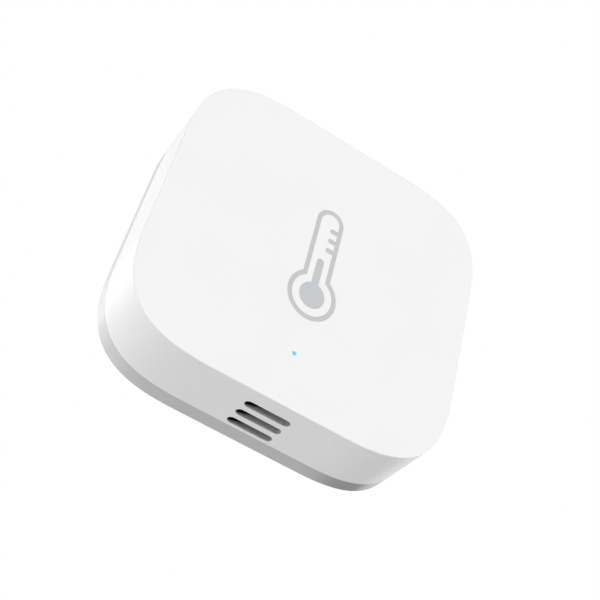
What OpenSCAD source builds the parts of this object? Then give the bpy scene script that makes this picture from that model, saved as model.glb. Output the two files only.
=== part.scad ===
// Square coin-cell temperature and humidity sensor, modelled as it comes apart on a bench.
// It lies on its back: +Z points out of the front face, -Y is the vented side, +Y the button side.
// The origin is the centre of the adhesive pad's mounting face. All sizes are in millimetres.

/* [Body] */
// Width of the square body, side to side
body_w = 36; // [33:0.5:42]
// Height of the plastic body, without the adhesive pad
body_h = 9; // [8.2:0.1:11]
// Height of the grey base band
base_h = 2; // [1.7:0.1:2.4]
// Length of each side that a corner curve takes up
corner_reach = 12; // [9:0.5:14]
// Fullness of the corner curve, where 2 is a plain arc
corner_power = 3; // [2:0.1:4]
// Thickness of the housing's side wall
wall = 1.5; // [1.3:0.1:1.7]
// Thickness of the front face
face_t = 1.2; // [1:0.1:1.5]
// Radius of the rounded front and rear edges
edge_r = 0.15; // [0.05:0.05:0.5]

/* [Vents] */
// Number of air slots in the front wall
vent_count = 3; // [1:1:3]
// Length of an air slot, end to end
vent_len = 4.9; // [3:0.1:7]
// Height of an air slot
vent_h = 1; // [0.6:0.1:1.2]
// Distance between neighbouring slots' centres
vent_pitch = 1.8; // [1.5:0.1:2]
// Height of the lowest slot's centre above the parting line
vent_rise = 0.95; // [0.85:0.05:1.2]
// Width that the rim stays clear of the slots, at each end
vent_margin = 1; // [0.5:0.1:2]

/* [Printed thermometer mark] */
// Depth of the mark in the front face
print_t = 0.12; // [0.05:0.01:0.3]
// Width of the mark's lines
print_line = 0.52; // [0.3:0.02:0.8]
// Height of the mark, top to bottom
print_len = 14.9; // [12:0.1:18]
// Width of the thermometer's tube
print_tube_w = 3.24; // [2.6:0.02:4]
// Outer diameter of the thermometer's bulb
print_bulb_d = 5.74; // [5:0.02:7]
// Diameter of the filled disc in the bulb
print_disc_d = 3.04; // [2:0.02:3.6]
// Width of the filled column
print_column_w = 0.84; // [0.5:0.02:1.4]
// Height of the column's top above the bulb's centre
print_column_h = 5.1; // [3:0.1:6]
// Number of scale marks
print_ticks = 3; // [1:1:4]
// Distance between scale marks
print_tick_pitch = 1.32; // [1:0.02:1.6]
// Distance from the mark's top to the first scale mark
print_tick_drop = 2.72; // [2:0.02:4]
// Length that a scale mark stands in from the tube's line
print_tick_len = 0.96; // [0.5:0.02:1.2]

/* [Status light] */
// Distance of the light from the vented side
light_edge = 6; // [5.4:0.1:8]
// Diameter of the light's tip in the front face
light_tip_d = 0.44; // [0.3:0.02:0.8]
// Length of the light's narrow tip
light_tip_len = 0.6; // [0.3:0.1:0.8]
// Diameter of the light pipe inside the housing
light_pipe_d = 1.7; // [1.2:0.1:2]
// Thickness of the boss around the light pipe
light_boss_wall = 0.75; // [0.5:0.05:1]
// Thickness of the light pipe's flange
light_flange_t = 0.25; // [0.2:0.05:0.35]
// Width of the light pipe's flange beyond the pipe
light_flange_w = 0.4; // [0.2:0.05:0.6]
// Gap between the light pipe and the status diode
light_gap = 0.15; // [0.05:0.05:0.2]
// Length of the status diode
led_len = 1.6; // [1:0.1:2]
// Width of the status diode
led_w = 0.8; // [0.5:0.1:1.2]
// Height of the status diode
led_h = 0.5; // [0.3:0.05:0.55]

/* [Rear cover] */
// Thickness of the rear cover's floor
floor_t = 1.2; // [1.1:0.1:1.4]
// Thickness of the rim that stands inside the housing
rim_t = 0.9; // [0.7:0.1:1.2]
// Height of the rim above the parting line
rim_h = 1.3; // [1:0.1:1.6]
// Gap between the rim and the housing's wall
rim_gap = 0.2; // [0.18:0.02:0.3]
// Length of a snap bead on the rim
bead_len = 8; // [4:0.5:10]
// Radius of a snap bead
bead_r = 0.4; // [0.3:0.05:0.6]
// Height that a snap bead stands proud of the rim
bead_proud = 0.14; // [0.08:0.01:0.16]
// Clearance of the groove around a snap bead
groove_gap = 0.2; // [0.15:0.05:0.3]
// Length of the pry notch
pry_len = 5; // [3:0.5:8]
// Depth of the pry notch into the base
pry_deep = 0.9; // [0.5:0.1:1.2]
// Height of the pry notch
pry_h = 0.6; // [0.4:0.1:0.8]
// Outer diameter of the ring on the floor that the coin cell rests on
rest_d = 14; // [8:0.5:18]
// Thickness of the ring that the coin cell rests on
rest_t = 1; // [0.6:0.1:2]

/* [Adhesive pad] */
// Width of the square adhesive pad
pad_w = 26; // [20:0.5:28]
// Length of each pad side that a corner curve takes up
pad_corner = 7; // [3:0.5:9]
// Thickness of the adhesive pad
pad_t = 0.8; // [0.5:0.1:0.9]
// Height that the pad stands proud of the cover
pad_proud = 0.3; // [0.1:0.05:0.4]

/* [Button and switch] */
// Length of the reset button's face
button_len = 4; // [3:0.1:5]
// Height of the reset button's face
button_h = 1.4; // [1:0.1:1.6]
// Width of the button's flange behind the wall, at each end
button_flange = 0.6; // [0.4:0.1:0.8]
// Thickness of the button's flange
button_flange_t = 0.4; // [0.3:0.05:0.6]
// Length of the button's nose between its flange and the switch
button_nose = 0.35; // [0.3:0.05:0.7]
// Distance that the button's face sits below the wall's surface
button_sunk = 0.1; // [0:0.05:0.3]
// Travel of the button
button_travel = 0.25; // [0.15:0.05:0.3]
// Room left around the button's flange by the board and the rim
button_room = 0.6; // [0.4:0.1:1]
// Length of the switch body along the wall
switch_w = 3.6; // [3:0.1:4.5]
// Depth of the switch body
switch_d = 1.8; // [1.6:0.1:2.2]
// Height of the switch body
switch_h = 1.6; // [1.4:0.1:2]
// Length of the switch plunger along the wall
plunger_w = 1.8; // [1.2:0.1:2.4]
// Height of the switch plunger
plunger_h = 0.7; // [0.5:0.05:0.9]
// Length of the plunger outside the switch body
plunger_out = 0.45; // [0.35:0.05:0.7]
// Length of the plunger inside the switch body
plunger_in = 0.8; // [0.5:0.1:1]
// Thickness of the switch's sheet-metal cover
switch_cover_t = 0.15; // [0.1:0.01:0.2]
// Height of the switch's sheet-metal cover
switch_cover_h = 1.1; // [0.8:0.1:1.2]
// Length of a soldered foot of the switch
switch_foot_len = 0.6; // [0.4:0.1:1]
// Width of a soldered foot of the switch
switch_foot_w = 0.5; // [0.3:0.1:0.6]
// Thickness of a soldered foot of the switch
switch_foot_t = 0.2; // [0.1:0.05:0.2]

/* [Circuit board] */
// Thickness of the circuit board
board_t = 0.8; // [0.6:0.1:1.2]
// Gap between the board and the housing's wall
board_gap = 0.3; // [0.2:0.05:0.5]
// Width of the square humidity sensor chip
sensor_w = 2; // [1.5:0.1:2.5]
// Height of the humidity sensor chip
sensor_h = 0.75; // [0.6:0.05:1.1]
// Distance of the humidity sensor chip from the board's vented edge
sensor_edge = 0.5; // [0.3:0.05:1]
// Diameter of the air port in the humidity sensor chip
sensor_port_d = 1.1; // [0.6:0.1:1.3]
// Depth of the air port in the humidity sensor chip
sensor_port_deep = 0.35; // [0.2:0.05:0.5]
// Width of the slits that keep board heat away from the sensor
slit_w = 0.8; // [0.5:0.1:1.2]
// Distance of the slits from the sensor chip
slit_gap = 0.5; // [0.3:0.1:1]
// Distance of the slits' ends from the status diode
slit_stop = 0.4; // [0.2:0.1:0.8]
// Width of the square radio chip
radio_w = 6; // [5:0.5:7]
// Height of the radio chip
radio_h = 0.85; // [0.6:0.05:1]
// Distance of the radio chip from the board's centre, along each axis
radio_off = 4; // [3:0.5:5]
// Length of the clock crystal
crystal_len = 3.2; // [2:0.1:5]
// Width of the clock crystal
crystal_w = 2.5; // [1.6:0.1:3.2]
// Height of the clock crystal
crystal_h = 0.7; // [0.5:0.1:1]
// Length of a chip resistor or capacitor
chip_len = 1; // [0.6:0.1:1.6]
// Width of a chip resistor or capacitor
chip_w = 0.5; // [0.3:0.1:0.8]
// Height of a chip resistor or capacitor
chip_h = 0.5; // [0.3:0.1:0.8]
// Length of each soldered end of a chip resistor or capacitor
chip_end = 0.25; // [0.1:0.05:0.25]
// Number of capacitors beside the radio chip, and of resistors below it
chip_count = 5; // [2:1:5]
// Distance between neighbouring chip parts
chip_pitch = 1.2; // [1:0.1:1.4]
// Distance between the radio chip, its rows of chip parts and the crystal
chip_gap = 1; // [0.5:0.1:1.5]
// Number of full bends in the antenna's line
antenna_turns = 5; // [3:1:6]
// Distance between neighbouring runs of the antenna's line
antenna_pitch = 1.2; // [0.9:0.1:1.3]
// Length of the antenna's runs
antenna_w = 3; // [2:0.1:3.4]
// Distance of the antenna from the board's edge
antenna_edge = 1; // [0.5:0.1:1.5]
// Width of the antenna's copper line
trace_w = 0.5; // [0.3:0.05:0.6]
// Thickness of the antenna's copper
trace_t = 0.05; // [0.03:0.01:0.1]

/* [Coin cell and holder] */
// Diameter of the coin cell
cell_d = 20; // [19.5:0.1:20.4]
// Height of the coin cell
cell_h = 3.2; // [3:0.1:3.4]
// Thickness of the coin cell's sheet steel
cell_steel = 0.25; // [0.2:0.01:0.3]
// Width of the can's crimped lip
cell_lip = 0.85; // [0.7:0.05:1]
// Height that the cap stands proud of the can
cell_proud = 0.35; // [0.3:0.05:0.5]
// Gap between the coin cell and the cover's floor
cell_gap = 0.2; // [0.15:0.05:0.3]
// Gap between the coin cell and its holder
holder_gap = 0.15; // [0.1:0.05:0.25]
// Thickness of the holder's ring
holder_wall = 1; // [0.9:0.1:1.2]
// Height of the holder's ring
holder_h = 2.8; // [2.4:0.1:3]
// Diameter of the holder's pegs in the board
holder_peg_d = 0.96; // [0.6:0.02:1]
// Width of the finger gap in the holder's ring
finger_w = 8; // [5:0.5:10]
// Height of the finger gap in the holder's ring
finger_h = 1.4; // [0.8:0.1:1.6]
// Room for the negative contact between the cell and the board
contact_room = 0.35; // [0.3:0.05:0.5]
// Thickness of the contact springs
contact_t = 0.14; // [0.1:0.01:0.16]
// Width of the contact springs
contact_w = 3.5; // [2.5:0.1:4]
// Depth of the pocket in the holder for the positive spring
contact_pocket = 0.6; // [0.5:0.05:0.7]
// Length of the positive spring's soldered foot outside the holder
contact_foot = 1.4; // [0.8:0.1:1.6]
// Height of the positive spring below the board
contact_drop = 2.6; // [2.2:0.1:2.7]
// Distance of the positive spring's touch on the cell below the board
contact_touch = 1.69; // [1.4:0.01:2]
// Length of the negative spring's soldered foot
negative_foot = 3.5; // [2:0.1:4]
// Length of the negative spring's arm, from its foot to its touch on the cell
negative_arm = 5; // [3:0.1:6]
// Length of the negative spring's raised tip
negative_tip = 1.5; // [0.8:0.1:2.5]
// Distance of the negative spring's touch from the cell's centre
negative_off = 1.5; // [0.5:0.1:3]

/* [Fasteners] */
// Diameter of the board screws' shank
screw_d = 1.4; // [1.2:0.1:1.6]
// Length of the board screws under the head
screw_len = 2.8; // [2.2:0.1:3]
// Diameter of the board screws' head
screw_head_d = 2.6; // [2.2:0.1:3]
// Height of the board screws' head
screw_head_h = 0.8; // [0.6:0.1:1]
// Length of the cross recess in the board screws
recess_len = 1.6; // [1:0.1:2]
// Width of the cross recess in the board screws
recess_w = 0.4; // [0.2:0.05:0.6]
// Depth of the cross recess in the board screws
recess_deep = 0.4; // [0.2:0.05:0.5]
// Spare depth of a pilot hole past its screw
pilot_spare = 0.2; // [0.1:0.05:0.3]
// Diameter of the posts that carry the board
post_d = 3.2; // [2.8:0.1:3.6]
// Distance of the posts from the housing's inner wall, along each axis
post_inset = 4.8; // [4.4:0.1:5.2]
// Diameter of the locating pegs
peg_d = 1.2; // [0.8:0.1:1.6]
// Height that the locating pegs stand out below the board
peg_proud = 0.3; // [0:0.1:0.6]

/* [Clearances] */
// Around the printed mark
print_gap = 0.01; // [0.005:0.005:0.02]
// Around a peg or the light pipe in its hole
peg_gap = 0.05; // [0.02:0.01:0.08]
// Around the button in its hole, the pad in its recess and a screw in the board
slide_gap = 0.1; // [0.05:0.01:0.15]
// Around the switch plunger, and behind the button's flange
guide_gap = 0.05; // [0.03:0.01:0.08]
// Between the button's nose and the plunger
plunger_gap = 0.05; // [0.02:0.01:0.08]
// At a spring's touch, around a screw's shank and the light's tip, and under the coin cell
touch_gap = 0.03; // [0.02:0.01:0.05]
// Between the coin cell's own pieces
seal_gap = 0.05; // [0.03:0.01:0.08]

/* [Hidden] */

$fn = 48;
// Straight steps in each corner curve, and in each rounded edge
corner_steps = 16;
edge_steps = 3;
// Overshoot that keeps cuts clean and joins overlapping
over = 0.2;

// Heights, from the mounting face up
half_w = body_w/2;
z_rear = pad_proud;
z_part = z_rear + base_h;
z_rim = z_part + rim_h;
z_front = z_rear + body_h;
z_floor = z_rear + floor_t;
z_face_in = z_front - face_t;
z_cell = z_floor + cell_gap;
z_cell_top = z_cell + cell_h;
z_board = z_cell_top + contact_room;
z_board_top = z_board + board_t;
z_light_shoulder = z_front - light_tip_len;
z_light_boss = z_board_top + led_h + light_gap + light_flange_t;

// Distances from the centre to the inner faces, measured along an axis
inner_half = half_w - wall;
board_half = inner_half - board_gap;
rim_half = inner_half - rim_gap;

// Distances of the printed mark's features from the face's centre, along Y
print_top = print_len/2;
print_bulb_y = print_bulb_d/2 - print_len/2;
print_tube_y = print_top - print_tube_w/2;

// Button and switch, from the wall inwards
button_z = z_board - switch_h/2;
button_flange_y = inner_half - guide_gap;
button_back_y = button_flange_y - button_flange_t;
plunger_tip_y = button_back_y - button_nose - plunger_gap;
switch_front_y = plunger_tip_y - plunger_out;
switch_back_y = switch_front_y - switch_d;
button_clear_x = button_len/2 + button_flange + button_room;
button_clear_y = button_back_y - button_travel - button_room/2;

// Places of the light and the board's parts
light_y = light_edge - half_w;
sensor_y = sensor_edge + sensor_w/2 - board_half;
slit_x = sensor_w/2 + slit_gap + slit_w/2;
slit_end_y = light_y - led_w/2 - slit_stop;
radio_at = [-radio_off, radio_off];
chip_row = [for (i = [0:chip_count - 1]) (i - (chip_count - 1)/2)*chip_pitch];
capacitor_at = radio_at + [radio_w/2 + chip_gap + chip_len/2, 0];
resistor_at = radio_at - [0, radio_w/2 + chip_gap + chip_len/2];
crystal_at = resistor_at - [0, chip_len/2 + chip_gap + crystal_w/2];
antenna_x = [board_half - antenna_edge - antenna_w, board_half - antenna_edge];

// Coin cell and holder
cell_r = cell_d/2;
holder_in = cell_r + holder_gap;
holder_out = holder_in + holder_wall;
holder_peg_at = (holder_in + holder_out)/2*sin(45);
holder_pegs = [[holder_peg_at, holder_peg_at], [-holder_peg_at, -holder_peg_at]];

// Screws sit on one diagonal, locating pegs on the other
post_at = inner_half - post_inset;
screw_posts = [[-post_at, post_at], [post_at, -post_at]];
peg_posts = [[post_at, post_at], [-post_at, -post_at]];

// Closed outline of a square with full, soft corners
function outline(half, reach) = [
    for (quarter = [0:3], step = [0:corner_steps])
        let (turn = 90*step/corner_steps,
             spread = pow(pow(cos(turn), corner_power) + pow(sin(turn), corner_power), 1/corner_power),
             x = half - reach + reach*cos(turn)/spread,
             y = half - reach + reach*sin(turn)/spread)
        [x*cos(90*quarter) - y*sin(90*quarter), x*sin(90*quarter) + y*cos(90*quarter)]
];

// The body's outline, moved in by a distance
function inset(distance) = outline(half_w - distance, corner_reach - distance);

// Outline of a strip of even width along a path, with mitred bends
function strip(path, width) =
    let (last = len(path) - 1,
         along = [for (i = [0:last - 1]) (path[i + 1] - path[i])/norm(path[i + 1] - path[i])],
         side = [for (a = along) [-a[1], a[0]]],
         mitre = [for (i = [0:last])
             let (before = side[max(i - 1, 0)], after = side[min(i, last - 1)])
             (before + after)/(1 + before*after)])
    concat([for (i = [0:last]) path[i] + mitre[i]*width/2],
           [for (i = [last:-1:0]) path[i] - mitre[i]*width/2]);

// Sections of a rounded edge: each is [distance in from the side, distance from the edge's plane]
rounded_edge = [
    for (step = [0:edge_steps])
        let (turn = 90*step/edge_steps)
        [edge_r*(1 - cos(turn)), edge_r*(1 - sin(turn))]
];

// A solid through sections [distance in from the side, height], from the bottom up
module loft(sections) {
    ring = 4*(corner_steps + 1);
    last = len(sections) - 1;
    points = [for (s = sections) for (p = inset(s[0])) [p[0], p[1], s[1]]];
    sides = [for (k = [0:last - 1], i = [0:ring - 1])
        let (j = (i + 1) % ring)
        [k*ring + i, (k + 1)*ring + i, (k + 1)*ring + j, k*ring + j]];
    floor_face = [for (i = [0:ring - 1]) i];
    roof_face = [for (i = [ring - 1:-1:0]) last*ring + i];
    polyhedron(points, concat([floor_face], sides, [roof_face]));
}

// A flat plate of an outline between two heights
module plate(points, low, high) {
    translate([0, 0, low]) linear_extrude(high - low) polygon(points);
}

// A round post or hole between two heights
module rod(at, diameter, low, high) {
    translate([at[0], at[1], low]) cylinder(d = diameter, h = high - low);
}

// A box from its lowest corner to its highest
module block(low, high) {
    translate(low) cube(high - low);
}

// A box that stands on the board's top
module chip_box(at, length, width, height) {
    translate([at[0], at[1], z_board_top + height/2]) cube([length, width, height], center = true);
}

// A bar with round ends, flat in its plane
module stadium(length, height) {
    square([length - height, height], center = true);
    for (end = [-1, 1]) translate([end*(length - height)/2, 0]) circle(d = height);
}

// A round-ended bar that runs along Y, centred on X
module stadium_bar(length, height, z, y_low, y_high) {
    translate([0, y_high, z]) rotate([90, 0, 0]) linear_extrude(y_high - y_low) stadium(length, height);
}

// A contact spring bent along a path in the XZ plane, centred on Y
module contact_spring(path) {
    translate([0, contact_w/2, 0]) rotate([90, 0, 0]) linear_extrude(contact_w)
        polygon(strip(path, contact_t));
}

// The outline of a bulb with a round-topped tube
module bulb_and_tube(bulb_d, tube_w) {
    translate([0, print_bulb_y]) circle(d = bulb_d);
    translate([-tube_w/2, print_bulb_y]) square([tube_w, print_tube_y - print_bulb_y]);
    translate([0, print_tube_y]) circle(d = tube_w);
}

// The thermometer mark, grown outwards by a distance
module thermometer(grow) {
    tube_in = print_tube_w - 2*print_line;
    bulb_in = print_bulb_d - 2*print_line;
    column_top = print_bulb_y + print_column_h - print_column_w/2;
    difference() {
        bulb_and_tube(print_bulb_d + 2*grow, print_tube_w + 2*grow);
        difference() {
            bulb_and_tube(bulb_in - 2*grow, tube_in - 2*grow);
            for (i = [0:print_ticks - 1])
                translate([tube_in/2, print_top - print_tick_drop - i*print_tick_pitch])
                    stadium(2*print_tick_len + 2*grow, print_line + 2*grow);
        }
    }
    translate([0, print_bulb_y]) circle(d = print_disc_d + 2*grow);
    translate([-print_column_w/2 - grow, print_bulb_y])
        square([print_column_w + 2*grow, column_top - print_bulb_y]);
    translate([0, column_top]) circle(d = print_column_w + 2*grow);
}

// Air slots, cut through the front wall
module vents() {
    for (i = [0:vent_count - 1])
        stadium_bar(vent_len, vent_h, z_part + vent_rise + i*vent_pitch, -half_w - over, -inner_half + over);
}

// Snap beads on the rim's two sides, or the grooves that take them
module snap_beads(grow) {
    for (side = [-1, 1])
        translate([side*(rim_half + bead_proud - bead_r), 0, z_part + rim_h/2]) rotate([90, 0, 0])
            cylinder(r = bead_r + grow, h = bead_len + 2*grow, center = true);
}

// Low ring on the cover's floor that keeps the coin cell in its holder
module cell_rest() {
    difference() {
        rod([0, 0], rest_d, z_floor - over, z_cell - touch_gap);
        rod([0, 0], rest_d - 2*rest_t, z_floor - 2*over, z_cell);
    }
}

// White outer shell with its vents, posts, light hole and button hole
module front_housing() color("white") {
    roof = [for (s = rounded_edge) [s[0], z_front - s[1]]];
    light_at = [0, light_y];
    difference() {
        union() {
            difference() {
                loft(concat([[0, z_part]], roof));
                plate(inset(wall), z_part - over, z_face_in);
            }
            for (at = concat(screw_posts, peg_posts)) rod(at, post_d, z_board_top, z_face_in + over);
            for (at = peg_posts) rod(at, peg_d, z_board - peg_proud, z_face_in + over);
            rod(light_at, light_pipe_d + 2*light_boss_wall, z_light_boss, z_face_in + over);
        }
        vents();
        translate([0, 0, z_front - print_t]) linear_extrude(print_t + over) thermometer(print_gap);
        rod(light_at, light_pipe_d + 2*peg_gap, z_light_boss - over, z_light_shoulder);
        rod(light_at, light_tip_d + 2*touch_gap, z_light_shoulder - over, z_front + over);
        stadium_bar(button_len + 2*slide_gap, button_h + 2*slide_gap, button_z,
            inner_half - over, half_w + over);
        for (at = screw_posts)
            rod(at, screw_d + 2*touch_gap, z_board_top - over, z_board + screw_len + pilot_spare);
        snap_beads(groove_gap);
    }
}

// Grey ink of the thermometer mark, flush with the front face
module thermometer_print() color("darkgray") {
    translate([0, 0, z_front - print_t]) linear_extrude(print_t) thermometer(0);
}

// Clear pipe that carries the diode's light to the face
module light_pipe() color("aqua") {
    at = [0, light_y];
    rod(at, light_tip_d, z_light_shoulder - over, z_front);
    rod(at, light_pipe_d, z_light_boss - over, z_light_shoulder);
    rod(at, light_pipe_d + 2*light_flange_w, z_light_boss - light_flange_t, z_light_boss);
}

// Grey base that the housing snaps onto
module rear_cover() color("silver") {
    edge = [for (i = [edge_steps:-1:0]) [rounded_edge[i][0], z_rear + rounded_edge[i][1]]];
    vent_clear_x = vent_len/2 + vent_margin;
    difference() {
        union() {
            loft(concat(edge, [[0, z_part]]));
            plate(inset(wall + rim_gap), z_part - over, z_rim);
            snap_beads(0);
        }
        difference() {
            plate(inset(wall + rim_gap + rim_t), z_floor, z_rim + over);
            cell_rest();
        }
        plate(outline(pad_w/2 + slide_gap, pad_corner + slide_gap), z_rear - over, pad_t);
        block([-vent_clear_x, -half_w, z_part], [vent_clear_x, 0, z_rim + over]);
        block([-button_clear_x, 0, z_part], [button_clear_x, half_w, z_rim + over]);
        block([half_w - pry_deep, -pry_len/2, z_part - pry_h], [half_w + over, pry_len/2, z_part + over]);
    }
}

// Double-sided foam tape on the back
module adhesive_pad() color("whitesmoke") {
    plate(outline(pad_w/2, pad_corner), 0, pad_t);
}

// Reset button: its face in the wall, a flange behind it and a nose on the switch
module reset_button() color("white") {
    stadium_bar(button_len, button_h, button_z, button_flange_y - over, half_w - button_sunk);
    stadium_bar(button_len + 2*button_flange, button_h, button_z, button_back_y, button_flange_y);
    stadium_bar(plunger_w, plunger_h, button_z, button_back_y - button_nose, button_back_y + over);
}

// Circuit board with its sensor tongue, button notch and holes
module circuit_board() color("seagreen") {
    low = z_board - over;
    high = z_board_top + over;
    difference() {
        plate(inset(wall + board_gap), z_board, z_board_top);
        for (at = screw_posts) rod(at, screw_d + 2*slide_gap, low, high);
        for (at = peg_posts) rod(at, peg_d + 2*peg_gap, low, high);
        for (at = holder_pegs) rod(at, holder_peg_d + 2*peg_gap, low, high);
        for (side = [-1, 1])
            block([side*slit_x - slit_w/2, -half_w, low], [side*slit_x + slit_w/2, slit_end_y, high]);
        block([-button_clear_x, button_clear_y, low], [button_clear_x, half_w, high]);
    }
}

// Two cross-head screws that hold the board to its posts
module board_screws() color("gainsboro") {
    for (at = screw_posts) difference() {
        union() {
            rod(at, screw_d, z_board - over, z_board + screw_len);
            rod(at, screw_head_d, z_board - screw_head_h, z_board);
        }
        for (turn = [0, 90])
            translate([at[0], at[1], z_board - screw_head_h]) rotate(turn)
                cube([recess_len, recess_w, 2*recess_deep], center = true);
    }
}

// Black body of the side-push switch, with the plunger's guide
module switch_body() color("dimgray") {
    guide_end = switch_front_y - plunger_in - button_travel - guide_gap;
    difference() {
        block([-switch_w/2, switch_back_y, z_board - switch_h], [switch_w/2, switch_front_y, z_board]);
        stadium_bar(plunger_w + 2*guide_gap, plunger_h + 2*guide_gap, button_z,
            guide_end, switch_front_y + over);
    }
}

// Sheet-metal cover under the switch body and up its sides
module switch_cover() color("lightgray") {
    side = switch_w/2 + switch_cover_t;
    under = z_board - switch_h;
    difference() {
        block([-side, switch_back_y, under - switch_cover_t], [side, switch_front_y, under + switch_cover_h]);
        block([-switch_w/2, switch_back_y - over, under], [switch_w/2, switch_front_y + over, z_board]);
    }
}

// Plunger of the switch
module switch_plunger() color("ivory") {
    stadium_bar(plunger_w, plunger_h, button_z, switch_front_y - plunger_in, plunger_tip_y);
}

// Soldered feet of the switch, two on each side
module switch_terminals() color("lightgray") {
    for (side = [-1, 1], row = [-1, 1])
        translate([side*(switch_w + switch_foot_len)/2, (switch_front_y + switch_back_y)/2 + row*switch_d/4,
            z_board - switch_foot_t/2])
            cube([switch_foot_len, switch_foot_w, switch_foot_t], center = true);
}

// Status diode under the light pipe
module status_led() color("lightcyan") {
    chip_box([0, light_y], led_len, led_w, led_h);
}

// Temperature and humidity sensor chip on the board's vented tongue
module humidity_sensor() color("black") {
    under = z_board - sensor_h;
    difference() {
        block([-sensor_w/2, sensor_y - sensor_w/2, under], [sensor_w/2, sensor_y + sensor_w/2, z_board]);
        rod([0, sensor_y], sensor_port_d, under - over, under + sensor_port_deep);
    }
}

// Microcontroller with the radio
module radio_chip() color("black") {
    chip_box(radio_at, radio_w, radio_w, radio_h);
}

// Clock crystal in its can
module clock_crystal() color("gainsboro") {
    chip_box(crystal_at, crystal_len, crystal_w, crystal_h);
}

// Meandering copper antenna along the board's edge
module antenna_trace() color("goldenrod") {
    low_y = -antenna_turns*antenna_pitch;
    runs = [for (i = [0:2*antenna_turns]) for (end = [i % 2, (i + 1) % 2])
        [antenna_x[end], low_y + i*antenna_pitch]];
    path = concat([[antenna_x[0], low_y - antenna_pitch]], runs);
    translate([0, 0, z_board_top]) linear_extrude(trace_t) polygon(strip(path, trace_w));
}

// Capacitors lie along X in a column beside the radio chip
module capacitor_places() {
    for (along = chip_row)
        translate([capacitor_at[0], capacitor_at[1] + along, z_board_top + chip_h/2]) children();
}

// Resistors lie along Y in a row below the radio chip
module resistor_places() {
    for (along = chip_row)
        translate([resistor_at[0] + along, resistor_at[1], z_board_top + chip_h/2]) rotate(90) children();
}

// Body of one chip part, between its soldered ends
module chip_middle() {
    cube([chip_len - 2*chip_end, chip_w, chip_h], center = true);
}

// Both soldered ends of one chip part
module chip_ends() {
    for (end = [-1, 1])
        translate([end*(chip_len - chip_end)/2, 0, 0]) cube([chip_end, chip_w, chip_h], center = true);
}

// Ceramic bodies of the capacitors
module chip_capacitors() color("tan") {
    capacitor_places() chip_middle();
}

// Dark bodies of the resistors
module chip_resistors() color("darkslategray") {
    resistor_places() chip_middle();
}

// Soldered ends of all chip parts
module chip_terminals() color("lightgray") {
    capacitor_places() chip_ends();
    resistor_places() chip_ends();
}

// Ring that holds the coin cell under the board
module battery_holder() color("dimgray") {
    low = z_board - holder_h;
    spring_y = contact_w/2 + 2*slide_gap;
    difference() {
        union() {
            rod([0, 0], 2*holder_out, low, z_board);
            for (at = holder_pegs) rod(at, holder_peg_d, z_board - over, z_board_top - over);
        }
        rod([0, 0], 2*holder_in, low - over, z_board);
        block([0, -spring_y, low - over], [holder_in + contact_pocket, spring_y, z_board]);
        block([0, -spring_y, z_board - contact_t - slide_gap], [holder_out + over, spring_y, z_board]);
        block([-holder_out - over, -finger_w/2, low - over], [0, finger_w/2, low + finger_h]);
    }
}

// Positive spring that presses on the cell's side
module positive_contact() color("gold") {
    contact_spring([
        [holder_out + contact_foot, z_board - contact_t/2],
        [holder_in + contact_pocket - contact_t, z_board - contact_t/2],
        [cell_r + touch_gap + contact_t, z_board - contact_touch],
        [holder_in + contact_pocket/2, z_board - contact_drop]
    ]);
}

// Negative spring that presses on the cell's cap, with its foot on the board
module negative_contact() color("gold") {
    bend_x = negative_off - negative_arm;
    contact_spring([
        [bend_x - negative_foot, z_board - contact_t/2],
        [bend_x, z_board - contact_t/2],
        [negative_off, z_cell_top + touch_gap + contact_t/2],
        [negative_off + negative_tip, z_cell_top + contact_room/2]
    ]);
}

// A piece of the coin cell, from its half section of [radius, height]
module cell_ring(section) {
    translate([0, 0, z_cell]) rotate_extrude($fn = 96) polygon(section);
}

// Steel can of the coin cell, with its crimped lip
module cell_can() color("silver") {
    top = cell_h - cell_proud;
    in = cell_r - cell_steel;
    lip = cell_r - cell_lip;
    cell_ring([
        [0, 0], [in, 0], [cell_r, cell_steel], [cell_r, top - cell_steel], [in, top], [lip, top],
        [lip, top - cell_steel], [in, top - cell_steel], [in, cell_steel], [0, cell_steel]
    ]);
}

// Sealing ring between the can and the cap
module cell_seal() color("black") {
    low = cell_steel + seal_gap;
    top = cell_h - cell_proud;
    shoulder = top - cell_steel - seal_gap;
    out = cell_r - cell_steel - seal_gap;
    neck = cell_r - cell_lip - seal_gap;
    in = neck - cell_steel;
    cell_ring([[in, low], [out, low], [out, shoulder], [neck, shoulder], [neck, top], [in, top]]);
}

// Steel cap of the coin cell
module cell_cap() color("lightgray") {
    low = cell_steel + seal_gap;
    under = cell_h - cell_steel;
    out = cell_r - cell_lip - cell_steel - 2*seal_gap;
    in = out - cell_steel;
    cell_ring([[in, low], [out, low], [out, under], [in, cell_h], [0, cell_h], [0, under], [in, under]]);
}

// Pressed cell contents inside the can and cap
module cell_core() color("darkslategray") {
    low = cell_steel + seal_gap;
    top = cell_h - cell_steel - seal_gap;
    out = cell_r - cell_lip - 2*cell_steel - 3*seal_gap;
    cell_ring([[0, low], [out, low], [out, top], [0, top]]);
}

front_housing();
thermometer_print();
light_pipe();
rear_cover();
adhesive_pad();
reset_button();
circuit_board();
board_screws();
switch_body();
switch_cover();
switch_plunger();
switch_terminals();
status_led();
humidity_sensor();
radio_chip();
clock_crystal();
antenna_trace();
chip_capacitors();
chip_resistors();
chip_terminals();
battery_holder();
positive_contact();
negative_contact();
cell_can();
cell_seal();
cell_cap();
cell_core();
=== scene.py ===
import math

import bmesh
import bpy
from mathutils import Matrix, Vector


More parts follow.
